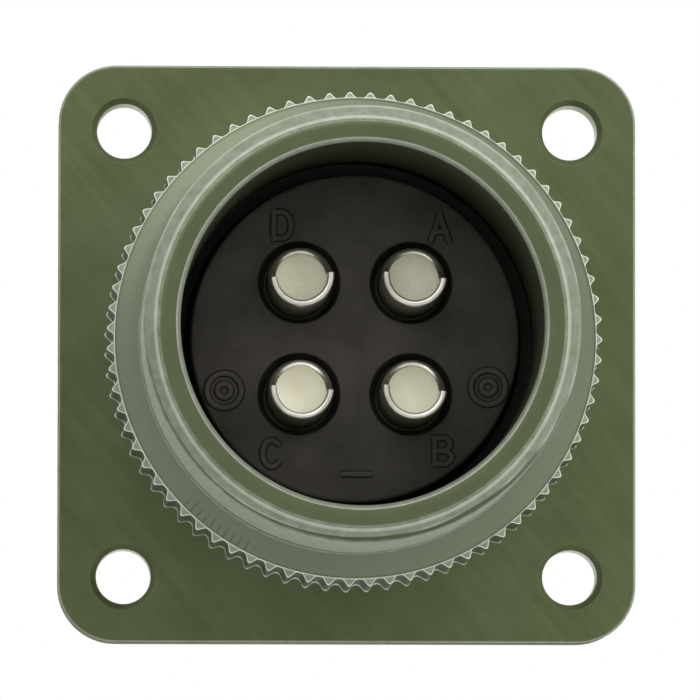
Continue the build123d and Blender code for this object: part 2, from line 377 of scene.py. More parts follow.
def makeMaterial(name):
    # object coordinates x, y, z, and the distance sqrt(x^2 + z^2) from the connector's axis
    material = bpy.data.materials.new(name)
    material.use_nodes = True
    making["tree"] = material.node_tree
    place = addNode("ShaderNodeTexCoord").outputs["Object"]
    split = addNode("ShaderNodeSeparateXYZ")
    feed(place, split.inputs[0])
    x, y, z = split.outputs
    radius = calc("SQRT", plus(times(x, x), times(z, z)))
    return {"material": material, "shader": material.node_tree.nodes["Principled BSDF"],
            "place": place, "x": x, "y": y, "z": z, "radius": radius}


def finishMaterial(parts, colour, rough, normal, metallic=0.0, specular=0.5):
    # a number goes onto its socket, and what varies is linked
    shader = parts["shader"]
    for name, value in (("Base Color", colour), ("Roughness", rough), ("Normal", normal),
                        ("Metallic", metallic)):
        feed(value, shader.inputs[name])
    shader.inputs["Specular IOR Level"].default_value = specular
    return parts["material"]


# Lengths inside the materials are in metres, as object coordinates are
oliveCoat = {
    "mottleScale": 260.0, "grainScale": 9000.0, "latheScale": 5200.0, "grainDepth": 0.000004,
    "latheDepth": 0.000006, "shade": (0.36, 0.64), "streakTurn": 50.0, "streakScale": 1500.0,
    "streakStretch": 0.06, "chips": 0.3, "chipScale": 1500.0, "wornAndGlinting": (0.35, 0.95), "bareAndGlint": (1.1, 1.4),
    "bareMetalAndGlint": (0.88, 0.88, 0.80), "grooveShade": 0.72, "grooveShadeRange": (-0.1, -1.0), "grooveShadeTone": (0.012, 0.014, 0.008),
    "grooveShadeRoughness": 0.9, "roughSpread": 0.04,
}
shoulderMarks = {
    "inside": (0.01260, 0.01275), "outside": (0.01413, 0.01421), "height": (-0.01740, -0.01736),
    "keptWear": (0.3, 0.6), "burnishAndSheen": 0.16, "turns": 180.0, "from": -138.0, "to": -114.0, "fade": 0.7,
    "start": 12.8, "startScale": 40.0, "startFade": 0.4, "wave": (0.5, 1.0), "strength": 0.75,
    "depth": 0.000020,
}
shellTones = {"deep": (0.082, 0.106, 0.042), "plain": (0.106, 0.136, 0.060), "pale": (0.50, 0.55, 0.44),
              "metallic": 0.35, "roughness": 0.46, "specular": 0.3}
backTones = {"deep": (0.088, 0.112, 0.054), "plain": (0.108, 0.138, 0.070), "pale": (0.60, 0.64, 0.54),
             "metallic": 0.60, "roughness": 0.32, "specular": 0.4}


def shoulderMask(parts, wearAndPaintedLight):
    # 1 on the flat shoulder between the clamp tube and the knurl, away from its worn and glinting edge
    marks = shoulderMarks
    return times(stretch(parts["radius"], *marks["inside"]),
                 stretch(parts["radius"], *marks["outside"], 1.0, 0.0),
                 stretch(parts["y"], *marks["height"], 1.0, 0.0),
                 stretch(wearAndPaintedLight, *marks["keptWear"], 1.0, 0.0))


def chatterMask(parts, shoulder):
    # radial tool marks: the wave sin(turns a), inside a band of the angle a and beyond an uneven radius
    marks = shoulderMarks
    angle = calc("ARCTAN2", parts["z"], parts["x"])
    wave = calc("SINE", times(angle, marks["turns"]))
    middle = math.radians(0.5 * (marks["from"] + marks["to"]))
    reach = math.radians(0.5 * (marks["to"] - marks["from"]))
    off = calc("ABSOLUTE", minus(angle, middle))
    uneven = noise(vectorOf(angle, 0.0, 0.0), marks["startScale"], 1.0)
    beyond = minus(times(parts["radius"], 1 / mm), plus(uneven, marks["start"]))
    return times(stretch(wave, *marks["wave"]),
                 stretch(beyond, 0.0, marks["startFade"]),
                 stretch(off, marks["fade"] * reach, reach, 1.0, 0.0), shoulder)


def oliveMaterial(name, tones, turned):
    # a turned piece has lathe lines and the shoulder's marks, a cast one has streaks and grain
    parts = makeMaterial(name)
    place, coat = parts["place"], oliveCoat
    grain = noise(place, coat["grainScale"], 2.0, 0.5)
    if turned:
        lines = noise(vectorOf(parts["radius"], parts["y"], 0.0), coat["latheScale"], 3.0, 0.7)
        normal = bump(lines, 0.5, coat["latheDepth"])
    else:
        # the streaks run across the flange at an angle
        turn = math.radians(coat["streakTurn"])
        across = plus(times(parts["x"], math.sin(turn)),
                      times(parts["z"], math.cos(turn)))
        along = minus(times(parts["x"], coat["streakStretch"] * math.cos(turn)),
                      times(parts["z"], coat["streakStretch"] * math.sin(turn)))
        lines = noise(vectorOf(across, along, parts["y"]), coat["streakScale"], 3.0, 0.6)
        normal = bump(grain, 0.35, coat["grainDepth"])
    mottle = noise(place, coat["mottleScale"], 4.0, 0.6)
    shade = plus(times(mottle, 0.5), times(lines, 0.5))
    colour = mixColour(stretch(shade, *coat["shade"]), tones["deep"], tones["plain"])
    # above 0 the value rubs the coat pale and then to metal, which is real wear and also painted highlights
    # on edges, crests and chamfers; below 0 it is painted shade in the grooves and knurl valleys
    wearAndPaintedLight = wearAndPaintedLightOf()
    chips = noise(place, coat["chipScale"], 4.0, 0.65)
    rubbedAndGlint = plus(wearAndPaintedLight, times(minus(chips, 0.5), coat["chips"]))
    colour = mixColour(stretch(rubbedAndGlint, *coat["wornAndGlinting"]), colour, tones["pale"])
    colour = mixColour(stretch(wearAndPaintedLight, *coat["bareAndGlint"]), colour, coat["bareMetalAndGlint"])
    # painted shade in grooves and valleys: the colour goes towards near black and the roughness up
    grooveShade = stretch(wearAndPaintedLight, *coat["grooveShadeRange"], 0.0, coat["grooveShade"])
    colour = mixColour(grooveShade, colour, coat["grooveShadeTone"])
    if turned:
        shoulder = shoulderMask(parts, wearAndPaintedLight)
        chatter = chatterMask(parts, shoulder)
        # the shoulder is painted paler: a burnished finish, and partly a painted sheen
        colour = mixColour(times(shoulder, shoulderMarks["burnishAndSheen"]), colour, tones["pale"])
        colour = mixColour(times(chatter, shoulderMarks["strength"]), colour, tones["deep"])
        normal = bump(chatter, 0.5, -shoulderMarks["depth"], normal)
    spread = coat["roughSpread"]
    rough = stretch(grain, 0.3, 0.7, tones["roughness"] - spread, tones["roughness"] + spread)
    rough = mixNumber(grooveShade, rough, coat["grooveShadeRoughness"])
    return finishMaterial(parts, colour, rough, normal, tones["metallic"], tones["specular"])


insulator = {"deep": (0.045, 0.039, 0.031), "plain": (0.066, 0.058, 0.046), "speck": (0.16, 0.13, 0.09),
             "outline": (0.006, 0.005, 0.004), "roughness": 0.58, "roughSpread": 0.1, "specular": 0.35,
             "cloudScale": 420.0, "speckScale": 6500.0, "speckStrength": 0.5, "fineScale": 7000.0,
             "fineDepth": 0.000015}


def insulatorMaterial():
    # cloudy black with fine specks, and painted shade: a dark line at the foot of each raised mark and along
    # the chamfered and recessed edges
    parts = makeMaterial("blackMoulding")
    place = parts["place"]
    cloud = stretch(noise(place, insulator["cloudScale"], 5.0, 0.6), 0.35, 0.65)
    speck = stretch(noise(place, insulator["speckScale"], 1.0, 0.4), 0.74, 0.80)
    colour = mixColour(cloud, insulator["deep"], insulator["plain"])
    colour = mixColour(times(speck, insulator["speckStrength"]), colour, insulator["speck"])
    # the value darkens towards near black as painted shade
    colour = mixColour(stretch(wearAndPaintedLightOf(), 0.3, 0.9), colour, insulator["outline"])
    fine = noise(place, insulator["fineScale"], 3.0, 0.6)
    spread = insulator["roughSpread"]
    rough = plus(insulator["roughness"] - spread, times(fine, 2 * spread))
    normal = bump(fine, 0.4, insulator["fineDepth"])
    return finishMaterial(parts, colour, rough, normal, 0.0, insulator["specular"])


insertPitch = 6.6          # side of the square of contacts, in mm
silver = {"bright": (0.98, 0.97, 0.89), "cream": (0.95, 0.93, 0.79), "dull": (0.42, 0.39, 0.33),
          "plain": (0.80, 0.79, 0.72), "tarnish": (0.55, 0.52, 0.44), "satin": 0.25, "metallic": 0.92,
          "roughness": 0.24, "satinRoughness": 0.36, "roughSpread": 0.1, "cloudScale": 900.0,
          "spotScale": 3200.0, "spotStrength": 0.5, "grainScale": 5200.0, "grainDepth": 0.000014,
          "ringScale": 9000.0, "ringDepth": 0.000012}


def silverMaterial():
    # plated metal outside, and a paler satin finish inside the cups, where the wear is -1
    parts = makeMaterial("silverPlate")
    place = parts["place"]
    cloud = noise(place, silver["cloudScale"], 4.0, 0.6)
    cloudy = stretch(cloud, 0.3, 0.7)
    satin = stretch(wearAndPaintedLightOf(), 0.0, -1.0)
    colour = mixColour(satin, mixColour(cloudy, silver["plain"], silver["tarnish"]),
                       mixColour(cloudy, silver["bright"], silver["cream"]))
    spots = stretch(noise(place, silver["spotScale"], 3.0, 0.6), 0.66, 0.78)
    colour = mixColour(times(spots, silver["spotStrength"]), colour, silver["dull"])
    rough = plus(mixNumber(satin, silver["roughness"], silver["satinRoughness"]),
                 times(cloud, silver["roughSpread"]))
    # turned rings round each contact's own axis, at |x| = |z| = half the pitch
    across = [minus(calc("ABSOLUTE", parts[k]), 0.5 * mm * insertPitch) for k in "xz"]
    reach = calc("SQRT", plus(*[times(v, v) for v in across]))
    rings = noise(vectorOf(reach, 0.0, 0.0), silver["ringScale"], 2.0, 0.6)
    normal = bump(noise(place, silver["grainScale"], 3.0, 0.6), 0.4, silver["grainDepth"])
    normal = bump(times(rings, satin), 0.6, silver["ringDepth"], normal)
    metallic = mixNumber(satin, silver["metallic"], silver["satin"])
    return finishMaterial(parts, colour, rough, normal, metallic)


steel = {"deep": (0.020, 0.019, 0.017), "plain": (0.035, 0.033, 0.030), "metallic": 0.6, "roughness": 0.40,
         "roughSpread": 0.12, "lineScale": 9000.0, "lineDepth": 0.000008}


def steelMaterial():
    # dark steel with turned lines
    parts = makeMaterial("springSteel")
    around = vectorOf(parts["radius"], parts["y"], 0.0)
    lines = noise(around, steel["lineScale"], 3.0, 0.6)
    colour = mixColour(stretch(lines, 0.3, 0.7), steel["deep"], steel["plain"])
    rough = plus(steel["roughness"], times(lines, steel["roughSpread"]))
    normal = bump(lines, 0.4, steel["lineDepth"])
    return finishMaterial(parts, colour, rough, normal, steel["metallic"])


shellOlive = oliveMaterial("shellOlive", shellTones, turned=False)
backOlive = oliveMaterial("backShellOlive", backTones, turned=True)
blackMoulding = insulatorMaterial()
silverPlate = silverMaterial()
springSteel = steelMaterial()
print("materials ready")


# Receptacle shell: flange, coupling barrel and threaded neck

shellSizes = {
    "columns": 360, "flangeThickness": 3.2, "cornerRadius": 3.5, "edgeBreak": 0.2, "edgeRows": 4,
    "holeSpacing": 26.97, "holeRadius": 1.65, "holeFlare": 0.35, "holeColumns": 72, "cornerColumns": 14,
    "sideColumns": 40,
    "couplingRadius": 14.2875, "rootRadius": 14.5, "rootLength": 4.2, "endChamfer": 0.9,
    "matingRadius": 12.1, "matingDepth": 13.55, "mouthChamfer": 0.4, "keyHalf": 1.6, "keyDepth": 0.8,
    "couplingPitch": 25.4 / 18, "couplingThreadDepth": 0.80, "couplingLead": 0.12,
    "barrelRadius": 13.9, "barrelLength": 7.5, "barrelBreak": 0.25, "rootBreak": 0.4,
    "neckRadius": 12.7, "neckPlainEnd": 0.25, "neckReliefWidth": 0.9, "neckReliefDepth": 0.75,
    "neckPitch": 25.4 / 20, "neckThreadDepth": 0.62,
    "lipRadius": 9.95, "lipThickness": 2.0, "rearBore": 10.7, "indexHalf": 1.0, "indexDepth": 0.5,
    "grooveDepth": 0.55, "grooveFront": -11.55, "grooveRear": -12.65, "wearGlintGuard": 0.05,
}
barrelRear = -shellSizes["flangeThickness"] - shellSizes["barrelLength"]
neckStart = barrelRear - shellSizes["neckReliefWidth"]


def roundedSquare(half, radius, inset):
    # four corner arcs of radius r - inset round (+-(half - r), +-(half - r)), and the straight sides
    z = shellSizes
    quarter = np.linspace(0, np.pi / 2, z["cornerColumns"])
    share = np.linspace(0, 1, z["sideColumns"])[1:-1, None]
    out = half - radius
    centres = [(out * x, out * h) for x, h in ((1, 1), (-1, 1), (-1, -1), (1, -1))]
    arcs = [circle(radius - inset, k * np.pi / 2 + quarter, centre) for k, centre in enumerate(centres)]
    points = []
    for arc, following in zip(arcs, arcs[1:] + arcs[:1]):
        points += [arc, arc[-1] + (following[0] - arc[-1]) * share]
    return np.concatenate(points)


def edgeRounding(breakSize, rows):
    # quarter circle as (inset, drop) pairs, from the face to the side
    angles = np.linspace(0, np.pi / 2, rows)
    return [(breakSize * (1 - math.sin(a)), breakSize * (1 - math.cos(a))) for a in angles]


def buildReceptacleShell():
    # turned rows (r, y) round the axis for both barrels, and the square outline for the flange
    z = shellSizes
    half = (shellHigh[0] - shellLow[0]) / 2
    wiring, neckEnd, mouth = -z["flangeThickness"], shellLow[1], shellHigh[1]
    matingFloor = mouth - z["matingDepth"]
    lipSeat = matingFloor - z["lipThickness"]
    keyCorner = math.asin(z["keyHalf"] / z["matingRadius"])
    keyFloor = math.atan2(z["keyHalf"], z["matingRadius"] + z["keyDepth"])
    slotCorner = math.asin(z["indexHalf"] / z["rearBore"])
    slotFloor = math.atan2(z["indexHalf"], z["rearBore"] + z["indexDepth"])
    top, bottom = 0.5 * np.pi, 1.5 * np.pi
    wanted = [top + s * a for s in (-1, 1) for a in (keyCorner, keyFloor)]
    wanted += [bottom + s * a for s in (-1, 1) for a in (slotCorner, slotFloor)]
    angles = snappedAngles(z["columns"], wanted)

    def slotRadius(bore, depth, floorAngle, side):
        # plain bore, or the straight slot floor at bore + depth where the angle is within the slot
        inSlot = np.abs(angles - side) <= floorAngle + 1e-6
        return np.where(inSlot, (bore + depth) / np.abs(np.sin(angles)).clip(0.2), bore)

    keyed = slotRadius(z["matingRadius"], z["keyDepth"], keyFloor, top)
    keyedMouth = np.maximum(keyed, z["matingRadius"] + z["mouthChamfer"])
    slotted = slotRadius(z["rearBore"], z["indexDepth"], slotFloor, bottom)
    groove = np.maximum(z["rearBore"] + z["grooveDepth"], slotted)
    neck, coupling = z["neckRadius"], z["couplingRadius"]
    relief = neck - z["neckReliefDepth"]
    threadEnd = neckEnd + z["neckPlainEnd"]
    surface = newSurface()
    # flange root to the neck's relief
    addTurned(surface, [
        (z["barrelRadius"] + z["rootBreak"], wiring, 0.0),
        (z["barrelRadius"] + 0.12, wiring - 0.12, 0.0),
        (z["barrelRadius"], wiring - z["rootBreak"], 0.0),
        (z["barrelRadius"], barrelRear + z["barrelBreak"], 0.2),
        (z["barrelRadius"] - 0.08, barrelRear + 0.08, 0.9),
        (z["barrelRadius"] - z["barrelBreak"], barrelRear, 0.2),
        (relief, barrelRear, 0.0),
        (relief, neckStart, 0.0),
    ], angles)
    addThread(surface, {
        "pitch": z["neckPitch"], "start": neckStart, "length": neckStart - threadEnd, "major": neck,
        "depth": z["neckThreadDepth"], "crestWearAndGlint": 0.45, "rootWearAndShade": -0.5, "startRadius": relief,
        "startSlope": 1.2, "endRadius": relief,
    }, angles, -1)
    # neck end face, then the bore towards the mating side
    addTurned(surface, [
        (relief, threadEnd, 0.2),
        (relief, neckEnd, 0.4),
        (slotted + 0.12, neckEnd, 0.4),
        (slotted, neckEnd + 0.12, 0.5),
        (slotted, z["grooveRear"], 0.0),
        (groove, z["grooveRear"], 0.0),
        (groove, z["grooveFront"], 0.0),
        (slotted, z["grooveFront"], 0.0),
        (slotted, lipSeat, 0.0),
        (z["lipRadius"], lipSeat, 0.0),
        (z["lipRadius"], matingFloor - 0.1, 0.0),
        (z["lipRadius"] + 0.1, matingFloor, 0.2),
        (keyed, matingFloor, 0.0),
        (keyed, mouth - z["mouthChamfer"], 0.2),
        (keyedMouth, mouth, 0.7),
        (coupling - z["endChamfer"] - 0.03, mouth, 0.7),
    ], angles)
    # coupling thread: its rows run from the mouth towards the flange
    couplingRoot = coupling - z["couplingThreadDepth"] - 0.02
    couplingStart = mouth - z["couplingLead"]
    addTurned(surface, [
        (coupling - z["endChamfer"] - 0.03, mouth, 0.7),
        (couplingRoot, couplingStart, 0.5),
    ], angles)
    addThread(surface, {
        "pitch": z["couplingPitch"], "start": couplingStart, "length": couplingStart - z["rootLength"],
        "major": coupling, "depth": z["couplingThreadDepth"], "crestWearAndGlint": 0.5, "rootWearAndShade": -0.4,
        "startRadius": couplingRoot, "endRadius": couplingRoot, "endSlope": 1.6,
    }, angles, -1)
    addTurned(surface, [
        (couplingRoot, z["rootLength"], 0.0),
        (z["rootRadius"] - 0.1, z["rootLength"], 0.4),
        (z["rootRadius"], z["rootLength"] - 0.1, 0.6),
        (z["rootRadius"], z["rootBreak"], 0.0),
        (z["rootRadius"] + 0.12, 0.12, 0.0),
        (z["rootRadius"] + z["rootBreak"], 0.0, 0.0),
    ], angles)
    # flange sides, rounded at both faces, with a worn and glinting line painted along each rounding
    rounding = edgeRounding(z["edgeBreak"], z["edgeRows"])
    wornAndGlinting = 1.0 - 2 * np.abs(np.linspace(0, 1, z["edgeRows"]) - 0.5)
    flatInset = z["edgeBreak"] + z["wearGlintGuard"]
    rows = [(flatInset, 0.0, 0.0)] + [(inset, -drop, w) for (inset, drop), w in zip(rounding, wornAndGlinting)]
    rows += [(0.0, wiring * share, 0.0) for share in (0.3, 0.7)]
    rows += [(inset, wiring + drop, w) for (inset, drop), w in zip(rounding[::-1], wornAndGlinting)]
    rows += [(flatInset, wiring, 0.0)]
    loops = np.stack([roundedSquare(half, z["cornerRadius"], inset) for inset, _, _ in rows])
    heights, wearAndPaintedLight = (np.broadcast_to(np.array(v)[:, None], loops.shape[:2]) for v in list(zip(*rows))[1:])
    grid = np.stack([loops[..., 0], heights, loops[..., 1]], -1)
    addPatch(surface, grid, gridTriangles(ringIndex(*grid.shape[:2])), wearAndPaintedLight)
    # screw holes and the two flat faces
    holeAngles = evenAngles(z["holeColumns"])
    holeLoops = []
    flare = z["holeRadius"] + z["holeFlare"]
    guard = flare + z["wearGlintGuard"]        # keeps the worn and glinting line narrow
    # the flare's edge is worn and glinting, and the hole wall is painted bare metal as a painted reflection
    # of the bright backdrop
    flared = [(guard, 0.0, 0.0), (flare, 0.0, 0.45), (flare - 0.07, 0.05, 0.0),
              (z["holeRadius"] + 0.03, z["holeFlare"] - 0.03, 0.0),
              (z["holeRadius"], z["holeFlare"] + 0.02, 1.5)]
    hole = [(r, wiring + drop, w) for r, drop, w in flared]
    hole += [(r, -drop, w) for r, drop, w in flared[::-1]]
    for x in (-z["holeSpacing"] / 2, z["holeSpacing"] / 2):
        for h in (-z["holeSpacing"] / 2, z["holeSpacing"] / 2):
            addTurned(surface, hole, holeAngles, centre=(x, h))
            holeLoops.append(circle(guard, holeAngles, (x, h)))
    outline = loops[0]
    for height, radius, facing in ((0.0, z["rootRadius"] + z["rootBreak"], 1),
                                   (wiring, z["barrelRadius"] + z["rootBreak"], -1)):
        addFlat(surface, height, outline, holeLoops + [circle(radius, angles)], facing)
    return finishPiece(surface, "receptacleShell", shellOlive, "receptacle",
                       ["receptacle_shell"])


buildReceptacleShell()


# Back shell: knurled grip, shoulder, clamp-thread tube and rim

backSizes = {
    "teeth": 75, "columnsPerTooth": 12, "columnRatio": 3, "crest": 14.65, "depth": 0.43,
    "knurlLength": 6.6, "crestShare": 0.10, "rootShare": 0.38, "bevelSlope": 0.7, "burr": 0.09,
    "lineRise": 0.02, "lineShift": 0.065, "lineAngle": 50.0, "shoulderRise": 0.35, "tube": 12.68,
    "reliefDepth": 0.1, "reliefWidth": 0.5, "pitch": 25.4 / 20, "threadDepth": 0.62, "grooveTurn": 160 / 360,
    "grooveDrop": 1.15, "rimFlat": 11.66, "rimLine": 11.93, "rimLineDrop": 0.13, "rimHeight": 0.8,
    "innerChamfer": 0.25, "plainChamfer": 0.3,
    "bore": 10.5, "neckBore": 12.76, "neckThreadDepth": 6.35, "mouthChamfer": 0.4, "innerRidge": 0.30,
}


def toothHeight(share, width, rounded):
    # share runs from -0.5 to 0.5 over one tooth: a straight-sided tooth, blended with a rounded wave
    z = backSizes
    crestHalf, rootHalf = z["crestShare"] / 2, z["rootShare"] / 2
    straight = np.clip((0.5 - rootHalf - np.abs(share)) / (0.5 - rootHalf - crestHalf), 0, 1)
    wave = ((1 + np.cos(2 * np.pi * share)) / 2) ** 1.3
    return width * (straight * (1 - rounded) + wave * rounded)


def buildBackShell():
    # turned rows (r, y): the knurl at r = root + tooth height, the shoulder, the tube, the rim and the bore
    z = backSizes
    front, rear = backHigh[1], backLow[1]
    knurlEnd = front - z["knurlLength"]
    top = knurlEnd - z["shoulderRise"]
    root = z["crest"] - z["depth"]
    fine = evenAngles(z["teeth"] * z["columnsPerTooth"])
    coarse = fine[::z["columnRatio"]]
    share = fine * z["teeth"] / (2 * np.pi)
    share = share - np.round(share)
    far = toothHeight(share, z["depth"], 0.85)
    near = toothHeight(share, z["depth"], 0.25)
    surface = newSurface()
    mouth = z["neckBore"] + z["mouthChamfer"]
    slope, burr = z["bevelSlope"], z["burr"]
    # the shoulder was turned a little off the knurl's centre, so its edge line is too
    line = root + z["lineRise"] + z["lineShift"] * np.cos(fine - math.radians(z["lineAngle"]))
    up = (root + near - line).clip(0)
    onTooth = up > 0.03
    # far end with the burr that the knurling left, its edge painted bright as a highlight, its teeth with
    # painted shade on the flanks and valleys, and the bevelled near end
    rows = [
        (root - 0.6, front, 0.0),
        (root - 0.15, front, 0.0),
        (root + far + 0.6 * burr, front, 0.8),
        (root + far + burr, front - 0.04, 1.0),
        (root + far + 0.8 * burr, front - 0.12, 1.0),
        (root + far + 0.2 * burr, front - 0.26, 0.7),
        (root + far, front - 0.36, -0.5),
    ]
    straightFrom = front - 0.6
    straightTo = knurlEnd + slope * z["depth"] + 0.3
    for part in np.linspace(0, 1, 5):
        height = far + (near - far) * part
        rows.append((root + height, straightFrom + (straightTo - straightFrom) * part, -0.5))
    # the bevelled tooth face: a painted highlight outline of even width, and a duller middle
    bevel = [(line + (up - inset).clip(0), knurlEnd + slope * (up - inset).clip(0), w) for inset, w in
             ((0.0, 1.35), (0.06, 1.25), (0.10, 0.58))]
    bevel += [(line + inner, knurlEnd + slope * inner, w) for inner, w in
              ((np.minimum(0.06, (up - 0.12).clip(0)), 0.58),
               (np.minimum(0.02, (up - 0.13).clip(0)), 0.9), (0 * up, 1.0))]
    rows += [
        (root + near, knurlEnd + slope * up + 0.16, -0.5),
        (root + near, knurlEnd + slope * up + 0.06, np.where(onTooth, 0.9, -0.5)),
    ] + bevel + [
        (line - 0.03, knurlEnd - 0.008, 0.8),
        (line - 0.06, knurlEnd - 0.016, 0.0),
    ]
    addTurned(surface, rows, fine)
    shoulderTo = (z["tube"] + 1.2, knurlEnd - 0.26 * z["shoulderRise"])
    addTurned(surface, [(line - 0.06, knurlEnd - 0.016, 0.0), (*shoulderTo, 0.0)], fine)
    addStep(surface, turnedPoints(z["tube"] + 0.9, knurlEnd - 0.44 * z["shoulderRise"], coarse),
            turnedPoints(*shoulderTo, fine), z["columnRatio"])
    relief = z["tube"] - z["reliefDepth"]
    reliefEnd = top - z["reliefWidth"]
    chamferEnd = rear + z["rimLineDrop"]
    threadEnd = chamferEnd + z["plainChamfer"]
    # the last groove runs out through the rim's chamfer: at its turn it lies one drop below the rim
    phase = z["grooveTurn"] - 0.5 - (reliefEnd - chamferEnd - z["grooveDrop"]) / z["pitch"]
    chamferSlope = (z["tube"] - z["rimLine"]) / (z["rimHeight"] - z["rimLineDrop"])
    threadRim = z["rimLine"] + chamferSlope * z["plainChamfer"]
    # the tube's top edge and relief carry a painted sheen
    addTurned(surface, [
        (z["tube"] + 0.9, knurlEnd - 0.44 * z["shoulderRise"], 0.0),
        (z["tube"] + 0.14, knurlEnd - 0.90 * z["shoulderRise"], 0.2),
        (z["tube"] + 0.08, top, 0.6),
        (z["tube"] + 0.03, top - 0.06, 0.75),
        (z["tube"], top - 0.20, 0.7),
        (relief + 0.04, top - 0.30, 0.5),
        (relief, top - 0.36, 0.5),
        (relief, reliefEnd, 0.5),
    ], coarse)
    # the clamp thread's crests and the rim's chamfer carry painted sheen and highlights
    addThread(surface, {
        "pitch": z["pitch"], "start": reliefEnd, "length": reliefEnd - threadEnd, "major": z["tube"],
        "depth": z["threadDepth"], "crestShare": 0.18, "crestWearAndGlint": 0.72, "rootWearAndShade": 0.12,
        "startRadius": relief, "endRadius": threadRim, "endSlope": chamferSlope, "phase": phase,
        "coneWearAndSheen": 0.55, "edgeWidth": 0.1, "edgeGlint": 0.3, "runIn": (0.25, 0.75), "runOut": (0.2, 0.5),
    }, coarse, -1)
    rimFlat, rimLine = z["rimFlat"], z["rimLine"]
    boreEdge = z["bore"] + z["innerChamfer"]
    bevelDrop = z["rimLineDrop"] / (rimLine - rimFlat)
    # the rim's chamfer line and the bore's edge carry painted highlights
    addTurned(surface, [
        (threadRim, threadEnd, 0.55),
        (rimLine + 0.14 * chamferSlope, chamferEnd + 0.14, 0.55),
        (rimLine + 0.08 * chamferSlope, chamferEnd + 0.08, 0.74),
        (rimLine, chamferEnd, 0.80),
        (rimLine - 0.05, chamferEnd - 0.05 * bevelDrop, 0.74),
        (rimLine - 0.09, chamferEnd - 0.09 * bevelDrop, 0.48),
        (rimFlat + 0.04, rear + 0.05 * bevelDrop, 0.5),
        (rimFlat, rear + 0.012, 0.3),
        (rimFlat - 0.05, rear, 0.05),
        (rimFlat - 0.2, rear, 0.0),
        (0.5 * (rimFlat + boreEdge), rear, 0.0),
        (boreEdge + 0.06, rear, 0.05),
        (boreEdge, rear + 0.01, 0.8),
        (boreEdge - 0.04, rear + 0.05, 0.7),
        (z["bore"] + 0.03, rear + z["innerChamfer"] - 0.03, 0.7),
        (z["bore"], rear + z["innerChamfer"] + 0.04, 0.4),
        (z["bore"], rear + z["innerChamfer"] + 0.12, 0.0),
        (z["bore"], rear + 1.2, 0.0),
        (z["bore"], 0.5 * (rear + top), 0.0),
        (z["bore"], front - z["neckThreadDepth"] - 0.1, 0.0),
        (z["bore"], front - z["neckThreadDepth"] - 0.03, 0.7),
        (z["bore"] + 0.1, front - z["neckThreadDepth"], 0.7),
        (z["neckBore"], front - z["neckThreadDepth"], 0.0),
    ], coarse)
    # neck thread inside: its ridges stand in the neck's grooves
    start = front - z["neckThreadDepth"]
    addThread(surface, {
        "pitch": z["pitch"], "start": start, "length": z["neckThreadDepth"] - z["mouthChamfer"],
        "major": z["neckBore"] - z["innerRidge"], "depth": z["innerRidge"], "rootShare": 0.5,
        "outside": False, "crestWearAndGlint": 0.4, "rootWearAndShade": 0.0, "startRadius": z["neckBore"],
        "endRadius": z["neckBore"], "phase": (start - neckStart) / z["pitch"] - 0.5,
    }, coarse, 1)
    addTurned(surface, [
        (z["neckBore"], front - z["mouthChamfer"], 0.0),
        (mouth - 0.05, front - 0.03, 0.4),
        (mouth, front, 0.3),
        (root - 0.8, front, 0.0),
    ], coarse)
    coarseRing = turnedPoints(root - 0.8, front, coarse)[::-1]
    fineRing = turnedPoints(root - 0.6, front, fine)[::-1]
    addStep(surface, coarseRing, fineRing, z["columnRatio"])
    return finishPiece(surface, "backShell", backOlive, "back_shell", ["back_shell"])


buildBackShell()


# Insulator halves, with the raised position letters on both faces

insertSizes = {
    "columns": 240, "flange": 10.6, "ribHalf": 0.9, "ribTop": 11.1, "rearRadius": 9.72, "rearChamfer": 0.25,
    "frontRadius": 9.85, "frontChamfer": 0.4, "pitch": insertPitch, "flangeEnd": -10.9, "lipSeat": 3.5,
    "recess": 2.42, "recessFloor": 2.05, "recessDepth": 2.2, "stem": 1.925, "collarPocket": 2.5,
    "collarDepth": 1.35, "socketPocket": 2.15, "entry": 1.65, "entryMouth": 2.1, "entryWall": 1.0,
    "holeColumns": 64,
}
letterSizes = {
    "height": 1.55, "width": 1.08, "stroke": 0.46, "raise": 0.09, "ring": 1.02, "innerRing": 0.40,
    "bar": 1.5, "sectionColumns": 16, "outline": 0.70,
}


def contactPlaces():
    # (x, z) corners of a square whose side is the pitch
    half = insertSizes["pitch"] / 2
    return {"a": (half, half), "b": (half, -half), "c": (-half, -half), "d": (-half, half)}


def ribAngles():
    # the flange's radius, and the straight top of its rib at ribTop / |sin a| within the rib's angle
    z = insertSizes
    corner = math.asin(z["ribHalf"] / z["flange"])
    outer = math.atan2(z["ribHalf"], z["ribTop"])
    bottom = 1.5 * np.pi
    angles = snappedAngles(z["columns"], [bottom + side * a for side in (-1, 1) for a in (corner, outer)])
    inRib = np.abs(angles - bottom) <= outer + 1e-6
    return angles, np.where(inRib, z["ribTop"] / np.abs(np.sin(angles)).clip(0.2), z["flange"])


insertAngles, ribbed = ribAngles()


